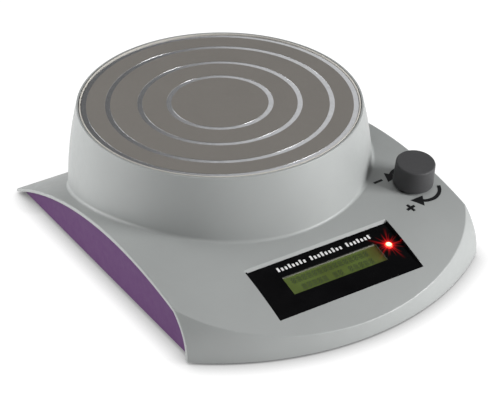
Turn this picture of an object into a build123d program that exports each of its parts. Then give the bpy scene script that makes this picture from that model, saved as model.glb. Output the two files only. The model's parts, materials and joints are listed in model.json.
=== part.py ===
from build123d import *
import os
from math import asin, cos, degrees, radians, sin, sqrt

os.makedirs("parts", exist_ok=True)

# Magnetic stirrer, in millimetres. +X is the right-hand side, +Y the back, +Z up.
# The origin is on the bench, under the middle of the outer box.

# ---- driving dimensions: casing ----
case_half = 100.4          # half the casing's width
foot_gap = 1.5             # height of the casing's lower edge above the bench
wall = 3.0                 # moulded wall of the casing
dome_y = 34.3              # the round tower's axis, behind the origin
base_rear = dome_y + 80.0  # straight rear edge of the low base
front_mid = -127.7         # front edge at the centre line, at the casing's lower edge
front_corner = -93.5       # front edge at the two sides, at the casing's lower edge
lean_mid = 0.02            # how far the front face leans back per mm of height, at the centre
corner_bend = 0.00242      # at the two sides it bends back by this times the rise to a power
corner_power = 2.61
arch_r = 265.9             # radius of the base's arched top
arch_y = dome_y - 50.2     # the arch is highest here
arch_peak = foot_gap + 35.4
arch_z = arch_peak - arch_r
edge_round = 0.9           # rounding along the base's outer edges
block_levels = (-30.0, -12.0, 1.5, 7.0, 12.0, 17.0, 22.0, 27.0, 32.0, 37.5)
block_low = block_levels[0]  # construction block, cut off at the casing's lower edge later
end_overlap = 5.0          # how far the hollow runs out past the open ends
end_rim = 1.8              # thinner rim round each open end

# ---- round tower ----
tower_r = 93.4             # outer radius at the foot
rim_r = 86.2               # outer radius at the rim
turn_z = 16.5              # the wall is upright below this and bows inwards above
rim_z = foot_gap + 72.9    # the rim stands 1 mm above the plate
shelf_z = 69.9             # ledge that carries the plate
shelf_t = 3.5
shelf_bore_r = 74.0
recess_r = 85.0
tower_joint_r = 1.8        # concave rounding where the tower meets the arch

# ---- top plate ----
plate_r = 83.3
plate_z = 73.9             # working surface
plate_t = 3.5
ring_radii = (67.4, 48.15, 30.7)
ring_width = 3.0
ring_depth = 0.15
stud_circle_r = 78.5
stud_r = 2.0
stud_l = 10.0
stud_turns = 45            # studs sit between the axes
seal_t = 0.5
seal_in_r = 81.0
seal_out_r = 84.5
seal_lip_r = plate_r + 0.4  # inner face of the seal's upright lip
seal_top = plate_z + 0.6
seal_bevel = 0.15

# ---- control knob and rotary encoder ----
knob_x = 82.1
knob_y = dome_y - 86.0
knob_gap = 1.5             # air under the knob at rest
knob_h = 14.8
knob_foot_r = 12.3
knob_top_r = 11.9
knob_round = 1.1           # rounding of its upper edge
knob_foot_round = 0.4
press_travel = 0.5
shaft_r = 3.0
shaft_fit = 0.05
encoder_top = -3.2         # under the casing wall, measured from its outer surface

# ---- display ----
window_y = dome_y - 124.2
window_tilt = 14.8
window_depth = 1.3
window_w = 98.2
window_l = 38.0
window_mid = (-0.3, -1.1)  # middle of the window, from the display's middle line
ramp_run = 5.4             # ramp behind the window, up to the arch
ramp_rise = 3.0
window_t = 1.0
cheek_w = 1.0
cheek_rise = 3.0           # before the cheeks are cut to the arch
cheek_sink = 0.05
lcd_x = 1.0
lcd_view_w = 64.5
lcd_view_l = 13.4
view_margin = 0.3          # edge of the display's frame that shows round the view
led_x = 39.7
led_v = 2.3
led_r = 2.5
led_fit = 0.1
board_top = -6.6           # display board's upper face, below the window's face
board_t = 1.6

# ---- bottom cover and fasteners ----
cover_low = 2.5
cover_t = 2.5
cover_top = cover_low + cover_t
cover_half = 95.2
cover_fit = 0.4            # gap between the cover and the casing's wall
cover_rear = dome_y + 69.0
panel_out = 98.0           # outer face of a side panel
panel_t = 2.5
panel_low = foot_gap + 2.0
boss_r = 5.0
screw_r = 1.5
rear_boss_r = 86.0
rear_boss_turn = 35.0

# ---- coil set and electronics ----
coil_circle_r = 36.0
yoke_r = 67.0
yoke_low = 40.0
yoke_t = 3.0
core_r = 9.0
core_top = 66.0
bobbin_r = 21.0
pillar_circle_r = 62.0
pillar_r = 4.0
driver_low = 12.0
driver_w = 76.0
driver_l = 96.0
driver_y = 36.0
inlet_z = 22.0


def turned(radius, degrees_from_x, centre=(0.0, 0.0)):
    """Point on a circle round a centre."""
    a = radians(degrees_from_x)
    return (centre[0] + radius * cos(a), centre[1] + radius * sin(a))


def leaning_plane(x, y, tilt_deg, depth=0.0):
    """Plane on the arch at x, y, leaning forwards by tilt_deg and sunk by depth."""
    slope = asin((arch_y - y) / arch_r)
    tilt = radians(tilt_deg)
    normal = Vector(0, -sin(tilt), cos(tilt))
    point = Vector(x, y, arch_z + arch_r * cos(slope)) - normal * depth
    return Plane(origin=point, x_dir=(1, 0, 0), z_dir=normal)


knob_plane = leaning_plane(knob_x, knob_y, degrees(asin((arch_y - knob_y) / arch_r)))
window_plane = leaning_plane(0, window_y, window_tilt, window_depth)
tower_axis = Axis((0, dome_y, 0), (0, 0, 1))
tower_centre = (0, dome_y)
driver_top = driver_low + board_t
pillar_points = [turned(pillar_circle_r, 45 + 90 * i, tower_centre) for i in range(4)]
coil_points = [turned(coil_circle_r, 90 * i, tower_centre) for i in range(4)]
stud_points = [turned(stud_circle_r, stud_turns + 90 * i, tower_centre) for i in range(4)]
rear_boss_points = [turned(rear_boss_r, 90 + s * rear_boss_turn, tower_centre) for s in (-1, 1)]
case_screw_points = [(84, -84), (-84, -84), (84, 82), (-84, 82), (34, -113), (-34, -113)]
case_screw_points += rear_boss_points
driver_screw_points = [(34, -8), (-34, -8), (34, 80), (-34, 80)]
foot_points = [(76, -68), (-76, -68), (60, 92), (-60, 92)]
display_screw_points = [(-42, 14.5), (-42, -14.5), (46, 14.5), (46, -14.5)]


# ================= casing =================
def front_arc(z, inset=0.0):
    """Centre and radius of the bowed front at height z, offset inwards by inset."""
    rise = max(z - foot_gap, 0)
    mid = front_mid + lean_mid * rise
    bow = front_corner + corner_bend * rise**corner_power - mid
    radius = (case_half**2 + bow**2) / (2 * bow)
    return mid + radius, radius - inset


def base_outline(z, half, rear, inset=0.0):
    """Plan of the base at height z: straight sides and rear, bowed front."""
    centre, radius = front_arc(z, inset)
    corner = centre - sqrt(radius**2 - half**2)
    with BuildSketch(Plane.XY.offset(z)) as outline:
        with BuildLine():
            Polyline((-half, corner), (-half, rear), (half, rear), (half, corner))
            ThreePointArc((half, corner), (0, centre - radius), (-half, corner))
        make_face()
    return outline.sketch


def arch_block(half, radius, inset=0.0):
    """Front that bends back at its ends, straight sides and an arched top."""
    rear = dome_y + tower_r + 30
    with BuildPart() as block:
        loft([base_outline(z, half, rear, inset).face() for z in block_levels])
        with BuildSketch(Plane.YZ.offset(-half)):
            with Locations((arch_y, arch_z)):
                Circle(radius)
        extrude(amount=2 * half, mode=Mode.INTERSECT)
    return block.part


def tower_profile(foot_r, top_r, low, top):
    """Half section of the tower: upright foot, then one long arc up to the rim."""
    rise = top - turn_z
    drop = foot_r - top_r
    radius = (rise**2 + drop**2) / (2 * drop)
    mid_r = foot_r - radius + sqrt(radius**2 - (rise / 2) ** 2)
    with BuildSketch(Plane.XZ.offset(-dome_y)) as profile:
        with BuildLine():
            Polyline((foot_r, turn_z), (foot_r, low), (0, low), (0, top), (top_r, top))
            ThreePointArc((top_r, top), (mid_r, turn_z + rise / 2), (foot_r, turn_z))
        make_face()
    return profile.sketch


outer_block = arch_block(case_half, arch_r)
inner_block = arch_block(case_half + end_overlap, arch_r - wall, wall)
end_block = arch_block(case_half + end_overlap, arch_r - end_rim, end_rim)

with BuildPart() as casing_solid:
    add(outer_block)
    revolve(tower_profile(tower_r, rim_r, block_low, rim_z), axis=tower_axis)
    joint_edges = casing_solid.edges().filter_by(GeomType.BSPLINE)
    joint_edges = joint_edges.filter_by(lambda e: e.bounding_box().size.X < 190)
    joint_edges = joint_edges.filter_by(lambda e: e.center().Z > -20 and abs(e.center().X) < 98)
    fillet(joint_edges, tower_joint_r)
    outer_edges = casing_solid.edges().filter_by(
        lambda e: e.bounding_box().max.Z > 20
        and e.bounding_box().size.Z > 15
        and (abs(abs(e.center().X) - case_half) < 0.01 or e.center().Y < -110)
    )
    fillet(outer_edges, edge_round)
    # below the casing's lower edge, and behind the base's straight rear edge, there is nothing
    with BuildSketch(Plane.XY.offset(block_low - 1)):
        Rectangle(400, 500)
    extrude(amount=foot_gap - block_low + 1, mode=Mode.SUBTRACT)
    with BuildSketch(Plane.XY.offset(foot_gap - 1)):
        with Locations((0, base_rear + 50)):
            Rectangle(300, 100)
        with Locations(tower_centre):
            Circle(tower_r, mode=Mode.SUBTRACT)
    extrude(amount=turn_z - foot_gap, mode=Mode.SUBTRACT)

with BuildPart() as casing_cavity:
    add(inner_block)
    inner_top = shelf_z - shelf_t
    inner_rim = rim_r - wall + 0.9  # the wall's radius at the ledge is a little more than at the rim
    revolve(tower_profile(tower_r - wall, inner_rim, block_low, inner_top), axis=tower_axis)

with BuildPart() as end_pockets:
    # the hollow widens at the open ends, where the side panels sit
    add(end_block)
    with BuildSketch(Plane.XY.offset(block_low)):
        with Locations((0, dome_y - 50)):
            Rectangle(2 * (panel_out - panel_t - 0.1), 400)
    extrude(amount=80, mode=Mode.SUBTRACT)

with BuildPart() as casing_details:
    # screw bosses, the display's seat with its bosses, and the pad behind the power inlet
    with BuildSketch(Plane.XY.offset(cover_top)):
        with Locations(*case_screw_points[:6]):
            Circle(boss_r)
    extrude(amount=30)
    with BuildSketch(Plane.XY.offset(cover_top)):
        with Locations(*rear_boss_points):
            Circle(boss_r)
    extrude(amount=16)
    with BuildSketch(window_plane.offset(-3.5)):
        Rectangle(window_w + 6, window_l + 6)
    extrude(amount=5)
    with BuildSketch(window_plane.offset(board_top)):
        with Locations(*display_screw_points):
            Circle(3.0)
    extrude(amount=5)
    with BuildSketch(Plane.XZ.offset(-(dome_y + tower_r - 5.5))):
        with Locations((0, inlet_z)):
            RectangleRounded(24, 22, 2)
    extrude(amount=-5)
    # stop ribs that the two side panels bear against
    for side in (-1, 1):
        with BuildSketch(Plane.YZ.offset(side * 94.1 - 1.1)):
            with Locations((arch_y, arch_z)):
                Circle(arch_r - 1)
                Circle(arch_r - wall - 2.5, mode=Mode.SUBTRACT)
            with Locations((arch_y, -50)):
                Rectangle(300, 2 * (50 + cover_top + 4), mode=Mode.SUBTRACT)
            with Locations((-100, 10)):
                Rectangle(35, 60, mode=Mode.SUBTRACT)
        extrude(amount=2.2)
    add(casing_solid.part, mode=Mode.INTERSECT)

with BuildPart() as top_housing:
    add(casing_solid.part)
    add(casing_cavity.part, mode=Mode.SUBTRACT)
    add(end_pockets.part, mode=Mode.SUBTRACT)
    add(casing_details.part)
    # plate recess and the opening inside its ledge
    with BuildSketch(Plane.XY.offset(shelf_z)):
        with Locations(tower_centre):
            Circle(recess_r)
    extrude(amount=10, mode=Mode.SUBTRACT)
    with BuildSketch(Plane.XY.offset(shelf_z - 10)):
        with Locations(tower_centre):
            Circle(shelf_bore_r)
        with Locations(*stud_points):
            Circle(stud_r + 0.3)
    extrude(amount=15, mode=Mode.SUBTRACT)
    # pocket for the display window: flat floor, ramp up to the arch at the rear
    pocket_origin = window_plane.origin + Vector(window_mid[0], 0, 0)
    with BuildSketch(Plane(pocket_origin, x_dir=window_plane.y_dir, z_dir=(1, 0, 0))):
        pocket_low = window_mid[1] - window_l / 2 - 0.1
        pocket_high = window_mid[1] + window_l / 2 + 0.1
        with BuildLine():
            Polyline(
                (pocket_low, -window_t), (pocket_high, -window_t), (pocket_high, 0),
                (pocket_high + ramp_run, ramp_rise), (pocket_low, ramp_rise), close=True,
            )
        make_face()
    extrude(amount=window_w / 2 + 0.1, both=True, mode=Mode.SUBTRACT)
    with BuildSketch(window_plane.offset(-8)):
        with Locations((lcd_x + 3.5, 0)):
            Rectangle(79.4, 26.4)
    extrude(amount=10, mode=Mode.SUBTRACT)
    with BuildSketch(window_plane.offset(board_top)):
        with Locations(*display_screw_points):
            Circle(1.0)
    extrude(amount=4.5, mode=Mode.SUBTRACT)
    # knob bushing hole, power inlet flat and hole, pilot holes for the case screws
    with BuildSketch(knob_plane.offset(-6)):
        Circle(3.6)
    extrude(amount=12, mode=Mode.SUBTRACT)
    with BuildSketch(Plane.XZ.offset(-(dome_y + tower_r - 1.4))):
        with Locations((0, inlet_z)):
            RectangleRounded(20, 18, 2)
    extrude(amount=-10, mode=Mode.SUBTRACT)
    with BuildSketch(Plane.XZ.offset(-(dome_y + tower_r + 5))):
        with Locations((0, inlet_z)):
            Circle(5.6)
    extrude(amount=20, mode=Mode.SUBTRACT)
    with BuildSketch(Plane.XY.offset(cover_top)):
        with Locations(*case_screw_points):
            Circle(screw_r - 0.25)
    extrude(amount=7.5, mode=Mode.SUBTRACT)
    rim_edge = top_housing.edges().filter_by(GeomType.CIRCLE).group_by(Axis.Z)[-1]
    fillet(rim_edge.sort_by(SortBy.RADIUS)[-1], 0.6)
top_housing.part.label = "top_housing"


with BuildPart() as bottom_cover:
    extrude(base_outline(cover_top, cover_half, cover_rear, wall + cover_fit), amount=-cover_t)
    with BuildSketch(Plane.XY.offset(cover_low)):
        with Locations(tower_centre):
            Circle(tower_r - wall - cover_fit)
    extrude(amount=cover_t)
    # pillars' seats and hollow bosses for the driver board
    with BuildSketch(Plane.XY.offset(cover_top)):
        with Locations(*driver_screw_points):
            Circle(3.2)
    extrude(amount=driver_low - cover_top)
    with BuildSketch(Plane.XY.offset(cover_top - 1)):
        with Locations(*driver_screw_points):
            Circle(1.1)
    extrude(amount=12, mode=Mode.SUBTRACT)
    with Locations(Plane.XY.offset(cover_low)):
        with Locations(*[Pos(x, y) * Rot(180, 0, 0) for x, y in case_screw_points]):
            CounterBoreHole(screw_r + 0.15, 3.0, 1.0)
        with Locations(*[Pos(x, y) * Rot(180, 0, 0) for x, y in pillar_points]):
            Hole(1.6)
        with Locations(*[Pos(x, y) * Rot(180, 0, 0) for x, y in foot_points]):
            Hole(2.6)
    # cooling slots under the driver board
    with BuildSketch(Plane.XY.offset(cover_low - 1)):
        with Locations((0, driver_y)):
            with GridLocations(30, 8, 2, 6):
                SlotOverall(24, 3)
    extrude(amount=cover_t + 2, mode=Mode.SUBTRACT)
bottom_cover.part.label = "bottom_cover"

with BuildPart() as case_screws:
    # pan heads in the counterbores, shanks up into the casing's bosses
    with BuildSketch(Plane.XY.offset(cover_low - 0.7)):
        with Locations(*case_screw_points):
            Circle(2.7)
            Rectangle(2.6, 0.6, mode=Mode.SUBTRACT)
            Rectangle(0.6, 2.6, mode=Mode.SUBTRACT)
    extrude(amount=0.7)
    with BuildSketch(Plane.XY.offset(cover_low)):
        with Locations(*case_screw_points):
            Circle(2.7)
    extrude(amount=1.0)
    with BuildSketch(Plane.XY.offset(cover_low + 1.0)):
        with Locations(*case_screw_points):
            Circle(screw_r - 0.25)
    extrude(amount=8)
case_screws.part.label = "case_screws"


def side_panel(side):
    """End panel: arched plate with a pressed-in field and three snap tabs."""
    clearance = 0.15
    front_edge = []
    for step in range(8):
        z = panel_low + (arch_peak - panel_low) * step / 7
        centre, radius = front_arc(z, end_rim + 2 * clearance)
        front_edge.append((centre - sqrt(radius**2 - panel_out**2), z))
    inner = side * (panel_out - panel_t)
    with BuildPart() as panel:
        with BuildSketch(Plane.YZ.offset(inner)):
            with BuildLine():
                Spline(*front_edge)
                Polyline(
                    front_edge[-1], (base_rear, arch_peak), (base_rear, panel_low), front_edge[0],
                )
            make_face()
            with Locations((arch_y, arch_z)):
                Circle(arch_r - end_rim - clearance, mode=Mode.INTERSECT)
        extrude(amount=side * panel_t)
        outer_rim = panel.faces().sort_by(Axis.X)[-1 if side > 0 else 0].edges()
        chamfer(outer_rim, 0.3)
        # hooked tabs that snap behind the casing's stop rib
        for turn in (-10, 0, 10):
            with BuildSketch(Plane.YZ.offset(inner)):
                with Locations(Pos(arch_y, arch_z) * Rot(0, 0, -turn)):
                    with Locations((0, arch_r - wall - 3.8)):
                        Rectangle(9, 1.8)
            extrude(amount=-side * 4.2)
            with BuildSketch(Plane.YZ.offset(inner - side * 3.0)):
                with Locations(Pos(arch_y, arch_z) * Rot(0, 0, -turn)):
                    with Locations((0, arch_r - wall - 2.7)):
                        Rectangle(9, 1.4)
            extrude(amount=-side * 1.2)
    return panel


side_panel_left = side_panel(-1)
side_panel_left.part.label = "side_panel_left"
side_panel_right = side_panel(1)
side_panel_right.part.label = "side_panel_right"

with BuildPart() as rubber_feet:
    # a soft disc under the cover with a barbed stem pulled through its hole
    with BuildSketch(Plane.XY):
        with Locations(*foot_points):
            Circle(8)
    extrude(amount=cover_low)
    chamfer(rubber_feet.faces().filter_by(Axis.Z).group_by(Axis.Z)[0].edges(), 0.5)
    with BuildSketch(Plane.XY.offset(cover_low)):
        with Locations(*foot_points):
            Circle(2.5)
    extrude(amount=cover_t)
    with BuildSketch(Plane.XY.offset(cover_top)):
        with Locations(*foot_points):
            Circle(3.2)
    extrude(amount=1.5, taper=20)
rubber_feet.part.label = "rubber_feet"


# ================= working plate =================
with BuildPart() as top_plate:
    with BuildSketch(Plane.XY.offset(plate_z - plate_t)):
        with Locations(tower_centre):
            Circle(plate_r)
    extrude(amount=plate_t)
    # bright turned rings, a hair below the blasted surface, and the bright edge band
    with BuildSketch(Plane.XY.offset(plate_z - ring_depth)):
        with Locations(tower_centre):
            Circle(plate_r + 1)
            Circle(plate_r - ring_width, mode=Mode.SUBTRACT)
            for radius in ring_radii:
                Circle(radius + ring_width / 2)
                Circle(radius - ring_width / 2, mode=Mode.SUBTRACT)
    extrude(amount=1, mode=Mode.SUBTRACT)
top_plate.part.label = "top_plate"

with BuildPart() as plate_studs:
    # welded under the plate, they pass through the casing's ledge
    with BuildSketch(Plane.XY.offset(plate_z - plate_t)):
        with Locations(*stud_points):
            Circle(stud_r)
    extrude(amount=-stud_l)
    chamfer(plate_studs.faces().filter_by(Axis.Z).group_by(Axis.Z)[0].edges(), 0.4)
plate_studs.part.label = "plate_studs"

with BuildPart() as plate_seal:
    # L-section ring: a flat gasket under the plate and an upright lip round its edge
    with BuildSketch(Plane.XZ.offset(-dome_y)):
        with BuildLine():
            Polyline(
                (seal_in_r, shelf_z), (seal_out_r, shelf_z), (seal_out_r, seal_top - seal_bevel),
                (seal_out_r - seal_bevel, seal_top), (seal_lip_r + seal_bevel, seal_top),
                (seal_lip_r, seal_top - seal_bevel), (seal_lip_r, shelf_z + seal_t),
                (seal_in_r, shelf_z + seal_t), close=True,
            )
        make_face()
    revolve(axis=tower_axis)
plate_seal.part.label = "plate_seal"

with BuildPart() as plate_washers:
    with BuildSketch(Plane.XY.offset(shelf_z - shelf_t - 0.8)):
        with Locations(*stud_points):
            Circle(4.2)
            Circle(stud_r + 0.15, mode=Mode.SUBTRACT)
    extrude(amount=0.8)
plate_washers.part.label = "plate_washers"

with BuildPart() as plate_nuts:
    with BuildSketch(Plane.XY.offset(shelf_z - shelf_t - 0.8 - 3.2)):
        with Locations(*stud_points):
            RegularPolygon(3.5, 6, major_radius=False)
            Circle(stud_r + 0.02, mode=Mode.SUBTRACT)
    extrude(amount=3.2)
plate_nuts.part.label = "plate_nuts"


# ================= control knob and encoder =================
def d_section(radius, flat):
    """Round section with one flat, the flat facing +Y."""
    with BuildSketch() as section:
        Circle(radius)
        with Locations((0, flat + radius)):
            Rectangle(2 * radius, 2 * radius, mode=Mode.SUBTRACT)
    return section.sketch


shaft_end = 14.0
shaft_step = 7.0
shaft_collar = -4.3
drive_r = 2.0
drive_flat = 1.3
can_h = 5.6                               # metal case of the encoder
board_face = encoder_top - can_h          # the encoder's board lies against the case
can_floor = board_face + 0.6
dome_h = 0.2
shaft_foot = can_floor + dome_h + press_travel + 0.05
pin_points = [(-2.5, -7.2), (0, -7.2), (2.5, -7.2), (-2.5, 7.2), (2.5, 7.2)]
header_point = (-8, 10.5)                 # the lead's socket, on the encoder's board
header_drop = 4.0

with BuildPart() as encoder_body:
    with BuildSketch(knob_plane.offset(board_face)):
        RectangleRounded(12.4, 13.2, 0.6)
    extrude(amount=can_h)
    with BuildSketch(knob_plane.offset(encoder_top)):
        Circle(3.5)
    extrude(amount=-encoder_top + 3.6)
    with BuildSketch(knob_plane.offset(can_floor)):
        Circle(5.1)
    extrude(amount=can_h - 1.6, mode=Mode.SUBTRACT)
    with BuildSketch(knob_plane.offset(encoder_top - 2)):
        Circle(shaft_r + shaft_fit)
    extrude(amount=12, mode=Mode.SUBTRACT)
    # solder pins through the small board below
    with BuildSketch(knob_plane.offset(board_face - 2.6)):
        with Locations(*pin_points):
            Rectangle(0.8, 0.5)
    extrude(amount=2.6)
    with BuildSketch(knob_plane.offset(board_face)):
        with Locations((0, -7.0), (0, 7.0)):
            Rectangle(7, 1.2)
    extrude(amount=1.0)
encoder_body.part.label = "encoder_body"

with BuildPart() as encoder_rotor:
    with BuildSketch(knob_plane.offset(-7.5)):
        Circle(4.75)
        add(d_section(drive_r + 0.06, drive_flat + 0.06), mode=Mode.SUBTRACT)
    extrude(amount=1.4)
encoder_rotor.part.label = "encoder_rotor"

with BuildPart() as encoder_shaft:
    with BuildSketch(knob_plane.offset(shaft_foot)):
        add(d_section(drive_r, drive_flat))
    extrude(amount=shaft_collar - shaft_foot)
    with BuildSketch(knob_plane.offset(shaft_collar - 0.7)):
        Circle(3.7)
    extrude(amount=0.7)
    with BuildSketch(knob_plane.offset(shaft_collar)):
        Circle(shaft_r)
    extrude(amount=shaft_step - shaft_collar)
    with BuildSketch(knob_plane.offset(shaft_step)):
        add(d_section(shaft_r, shaft_r - 1.5))
    extrude(amount=shaft_end - shaft_step)
    chamfer(encoder_shaft.faces().sort_by(Axis.Z)[-1].edges(), 0.3)
encoder_shaft.part.label = "encoder_shaft"

with BuildPart() as encoder_washer:
    with BuildSketch(knob_plane):
        Circle(6)
        Circle(3.6, mode=Mode.SUBTRACT)
    extrude(amount=0.4)
encoder_washer.part.label = "encoder_washer"

with BuildPart() as encoder_nut:
    with BuildSketch(knob_plane.offset(0.4)):
        RegularPolygon(5, 6, major_radius=False)
        Circle(3.52, mode=Mode.SUBTRACT)
    extrude(amount=2)
encoder_nut.part.label = "encoder_nut"

with BuildPart() as encoder_board:
    with BuildSketch(knob_plane.offset(board_face - board_t)):
        RectangleRounded(26, 30, 1)
        with Locations(*pin_points):
            Rectangle(1.0, 0.7, mode=Mode.SUBTRACT)
    extrude(amount=board_t)
encoder_board.part.label = "encoder_board"

with BuildPart() as switch_dome:
    # snap disc on the floor of the encoder, which the shaft reaches at the end of its press
    with BuildSketch(knob_plane.offset(can_floor)):
        Circle(2.4)
    extrude(amount=dome_h, taper=45)
switch_dome.part.label = "switch_dome"

with BuildPart() as encoder_header:
    with BuildSketch(knob_plane.offset(board_face - board_t)):
        with Locations(header_point):
            Rectangle(8, 5)
    extrude(amount=-header_drop)
encoder_header.part.label = "encoder_header"

with BuildPart() as control_knob:
    with BuildSketch(knob_plane.offset(knob_gap)):
        Circle(knob_foot_r)
    with BuildSketch(knob_plane.offset(knob_gap + knob_h)):
        Circle(knob_top_r)
    loft()
    fillet(control_knob.faces().sort_by(Axis.Z)[-1].edges(), knob_round)
    fillet(control_knob.faces().sort_by(Axis.Z)[0].edges(), knob_foot_round)
    with BuildSketch(knob_plane.offset(knob_gap)):
        Circle(8.5)
    extrude(amount=4.5, mode=Mode.SUBTRACT)
    with BuildSketch(knob_plane.offset(knob_gap + 4.5)):
        Circle(shaft_r + 0.02)
    extrude(amount=shaft_step - knob_gap - 4.5, mode=Mode.SUBTRACT)
    with BuildSketch(knob_plane.offset(shaft_step)):
        add(d_section(shaft_r + 0.02, shaft_r - 1.48))
    extrude(amount=shaft_end - shaft_step + 0.2, mode=Mode.SUBTRACT)
    # radial hole for the grub screw, at the back, square to the shaft's flat
    grub_plane = Plane(
        origin=knob_plane.origin + knob_plane.z_dir * 10.5,
        x_dir=knob_plane.x_dir, z_dir=knob_plane.y_dir,
    )
    with BuildSketch(grub_plane):
        Circle(1.5)
    extrude(amount=14, mode=Mode.SUBTRACT)
control_knob.part.label = "control_knob"

with BuildPart() as knob_grub_screw:
    with BuildSketch(grub_plane.offset(1.55)):
        Circle(1.47)
    extrude(amount=6)
    with BuildSketch(grub_plane.offset(6.2)):
        RegularPolygon(0.75, 6)
    extrude(amount=3, mode=Mode.SUBTRACT)
knob_grub_screw.part.label = "knob_grub_screw"


# ================= display =================
def on_window(v, w):
    """Point in the casing's YZ plane: v up the window's slope, w out of its face."""
    point = window_plane.origin + window_plane.y_dir * v + window_plane.z_dir * w
    return (point.Y, point.Z)


with BuildPart() as display_window:
    with BuildSketch(window_plane.offset(-window_t)):
        with Locations(window_mid):
            Rectangle(window_w, window_l)
    extrude(amount=window_t)
    # side cheeks that rise to the arch's surface
    cheek_x = (window_w - cheek_w) / 2
    with BuildSketch(window_plane):
        with Locations(window_mid):
            with Locations((-cheek_x, 0), (cheek_x, 0)):
                Rectangle(cheek_w, window_l)
    extrude(amount=cheek_rise)
    with BuildSketch(Plane.YZ.offset(-case_half)):
        with Locations((arch_y, arch_z)):
            Circle(arch_r - cheek_sink)
    extrude(amount=2 * case_half, mode=Mode.INTERSECT)
    with BuildSketch(window_plane.offset(-window_t)):
        with Locations((lcd_x, 0)):
            Rectangle(lcd_view_w + 2 * view_margin, lcd_view_l + 2 * view_margin)
        with Locations((led_x, led_v)):
            Circle(led_r + led_fit)
    extrude(amount=window_t + 1, mode=Mode.SUBTRACT)
display_window.part.label = "display_window"

lcd_w = 71.2
lcd_l = 25.2
frame_top = -window_t - 0.05
frame_sheet = 0.35
frame_wall = 0.5
module_fit = 0.1           # gap between the frame's wall and what it holds
module_w = lcd_w - 2 * (frame_wall + module_fit)
module_l = lcd_l - 2 * (frame_wall + module_fit)

with BuildPart() as lcd_frame:
    # pressed metal frame: an open box, face down on the board, with the viewing opening
    with BuildSketch(window_plane.offset(board_top)):
        with Locations((lcd_x, 0)):
            Rectangle(lcd_w, lcd_l)
    extrude(amount=frame_top - board_top)
    with BuildSketch(window_plane.offset(board_top)):
        with Locations((lcd_x, 0)):
            Rectangle(lcd_w - 2 * frame_wall, lcd_l - 2 * frame_wall)
    extrude(amount=frame_top - frame_sheet - board_top, mode=Mode.SUBTRACT)
    with BuildSketch(window_plane.offset(frame_top - 1)):
        with Locations((lcd_x, 0)):
            Rectangle(lcd_view_w, lcd_view_l)
    extrude(amount=2, mode=Mode.SUBTRACT)
lcd_frame.part.label = "lcd_frame"

glass_t = 2.2
stack_gap = 0.02           # air between the frame, the glass and the backlight
glass_low = frame_top - frame_sheet - stack_gap - glass_t
with BuildPart() as lcd_glass:
    with BuildSketch(window_plane.offset(glass_low)):
        with Locations((lcd_x, 0)):
            Rectangle(module_w, module_l)
    extrude(amount=glass_t)
lcd_glass.part.label = "lcd_glass"

with BuildPart() as lcd_backlight:
    with BuildSketch(window_plane.offset(board_top + stack_gap)):
        with Locations((lcd_x, 0)):
            Rectangle(module_w, module_l)
    extrude(amount=glass_low - board_top - 2 * stack_gap)
lcd_backlight.part.label = "lcd_backlight"

with BuildPart() as display_board:
    with BuildSketch(window_plane.offset(board_top - board_t)):
        with Locations((2, 0)):
            RectangleRounded(96, 36, 1)
        with Locations(*display_screw_points):
            Circle(1.3, mode=Mode.SUBTRACT)
    extrude(amount=board_t)
display_board.part.label = "display_board"

with BuildPart() as display_board_screws:
    with BuildSketch(window_plane.offset(board_top - board_t)):
        with Locations(*display_screw_points):
            Circle(2.3)
    extrude(amount=-1.4)
    with BuildSketch(window_plane.offset(board_top - board_t)):
        with Locations(*display_screw_points):
            Circle(1.0)
    extrude(amount=5.2)
display_board_screws.part.label = "display_board_screws"

with BuildPart() as display_chips:
    with BuildSketch(window_plane.offset(board_top - board_t)):
        with Locations((28, -4), (-22, -4)):
            Rectangle(10, 10)
    extrude(amount=-1.3)
display_chips.part.label = "display_chips"

header_h = 5.0
ribbon_socket = (0.0, 8.0)
lead_socket = (44.0, -2.0)
lead_socket_w = 7.0
with BuildPart() as display_headers:
    # sockets under the board for the ribbon and for the encoder's lead
    with BuildSketch(window_plane.offset(board_top - board_t)):
        with Locations(ribbon_socket):
            Rectangle(20, 6)
        with Locations(lead_socket):
            Rectangle(lead_socket_w, lead_socket_w)
    extrude(amount=-header_h)
display_headers.part.label = "display_headers"

with BuildPart() as status_led:
    with BuildSketch(window_plane.offset(board_top)):
        with Locations((led_x, led_v)):
            Circle(led_r + 0.4)
    extrude(amount=1)
    with BuildSketch(window_plane.offset(board_top + 1)):
        with Locations((led_x, led_v)):
            Circle(led_r)
    extrude(amount=-board_top - 1 + 0.8)
    fillet(status_led.faces().sort_by(Axis.Z)[-1].edges(), 1.6)
status_led.part.label = "status_led"


# ================= coil set =================
with BuildPart() as coil_yoke:
    with BuildSketch(Plane.XY.offset(yoke_low)):
        with Locations(tower_centre):
            Circle(yoke_r)
            Circle(14, mode=Mode.SUBTRACT)
        with Locations(*pillar_points):
            Circle(1.7, mode=Mode.SUBTRACT)
        with Locations(*coil_points):
            Circle(2.6, mode=Mode.SUBTRACT)
    extrude(amount=yoke_t)
coil_yoke.part.label = "coil_yoke"

with BuildPart() as pole_cores:
    with BuildSketch(Plane.XY.offset(yoke_low + yoke_t)):
        with Locations(*coil_points):
            Circle(core_r)
    extrude(amount=core_top - yoke_low - yoke_t)
    chamfer(pole_cores.faces().filter_by(Axis.Z).group_by(Axis.Z)[-1].edges(), 0.8)
    with BuildSketch(Plane.XY.offset(yoke_low + yoke_t)):
        with Locations(*coil_points):
            Circle(2.48)
    extrude(amount=12, mode=Mode.SUBTRACT)
pole_cores.part.label = "pole_cores"

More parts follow.
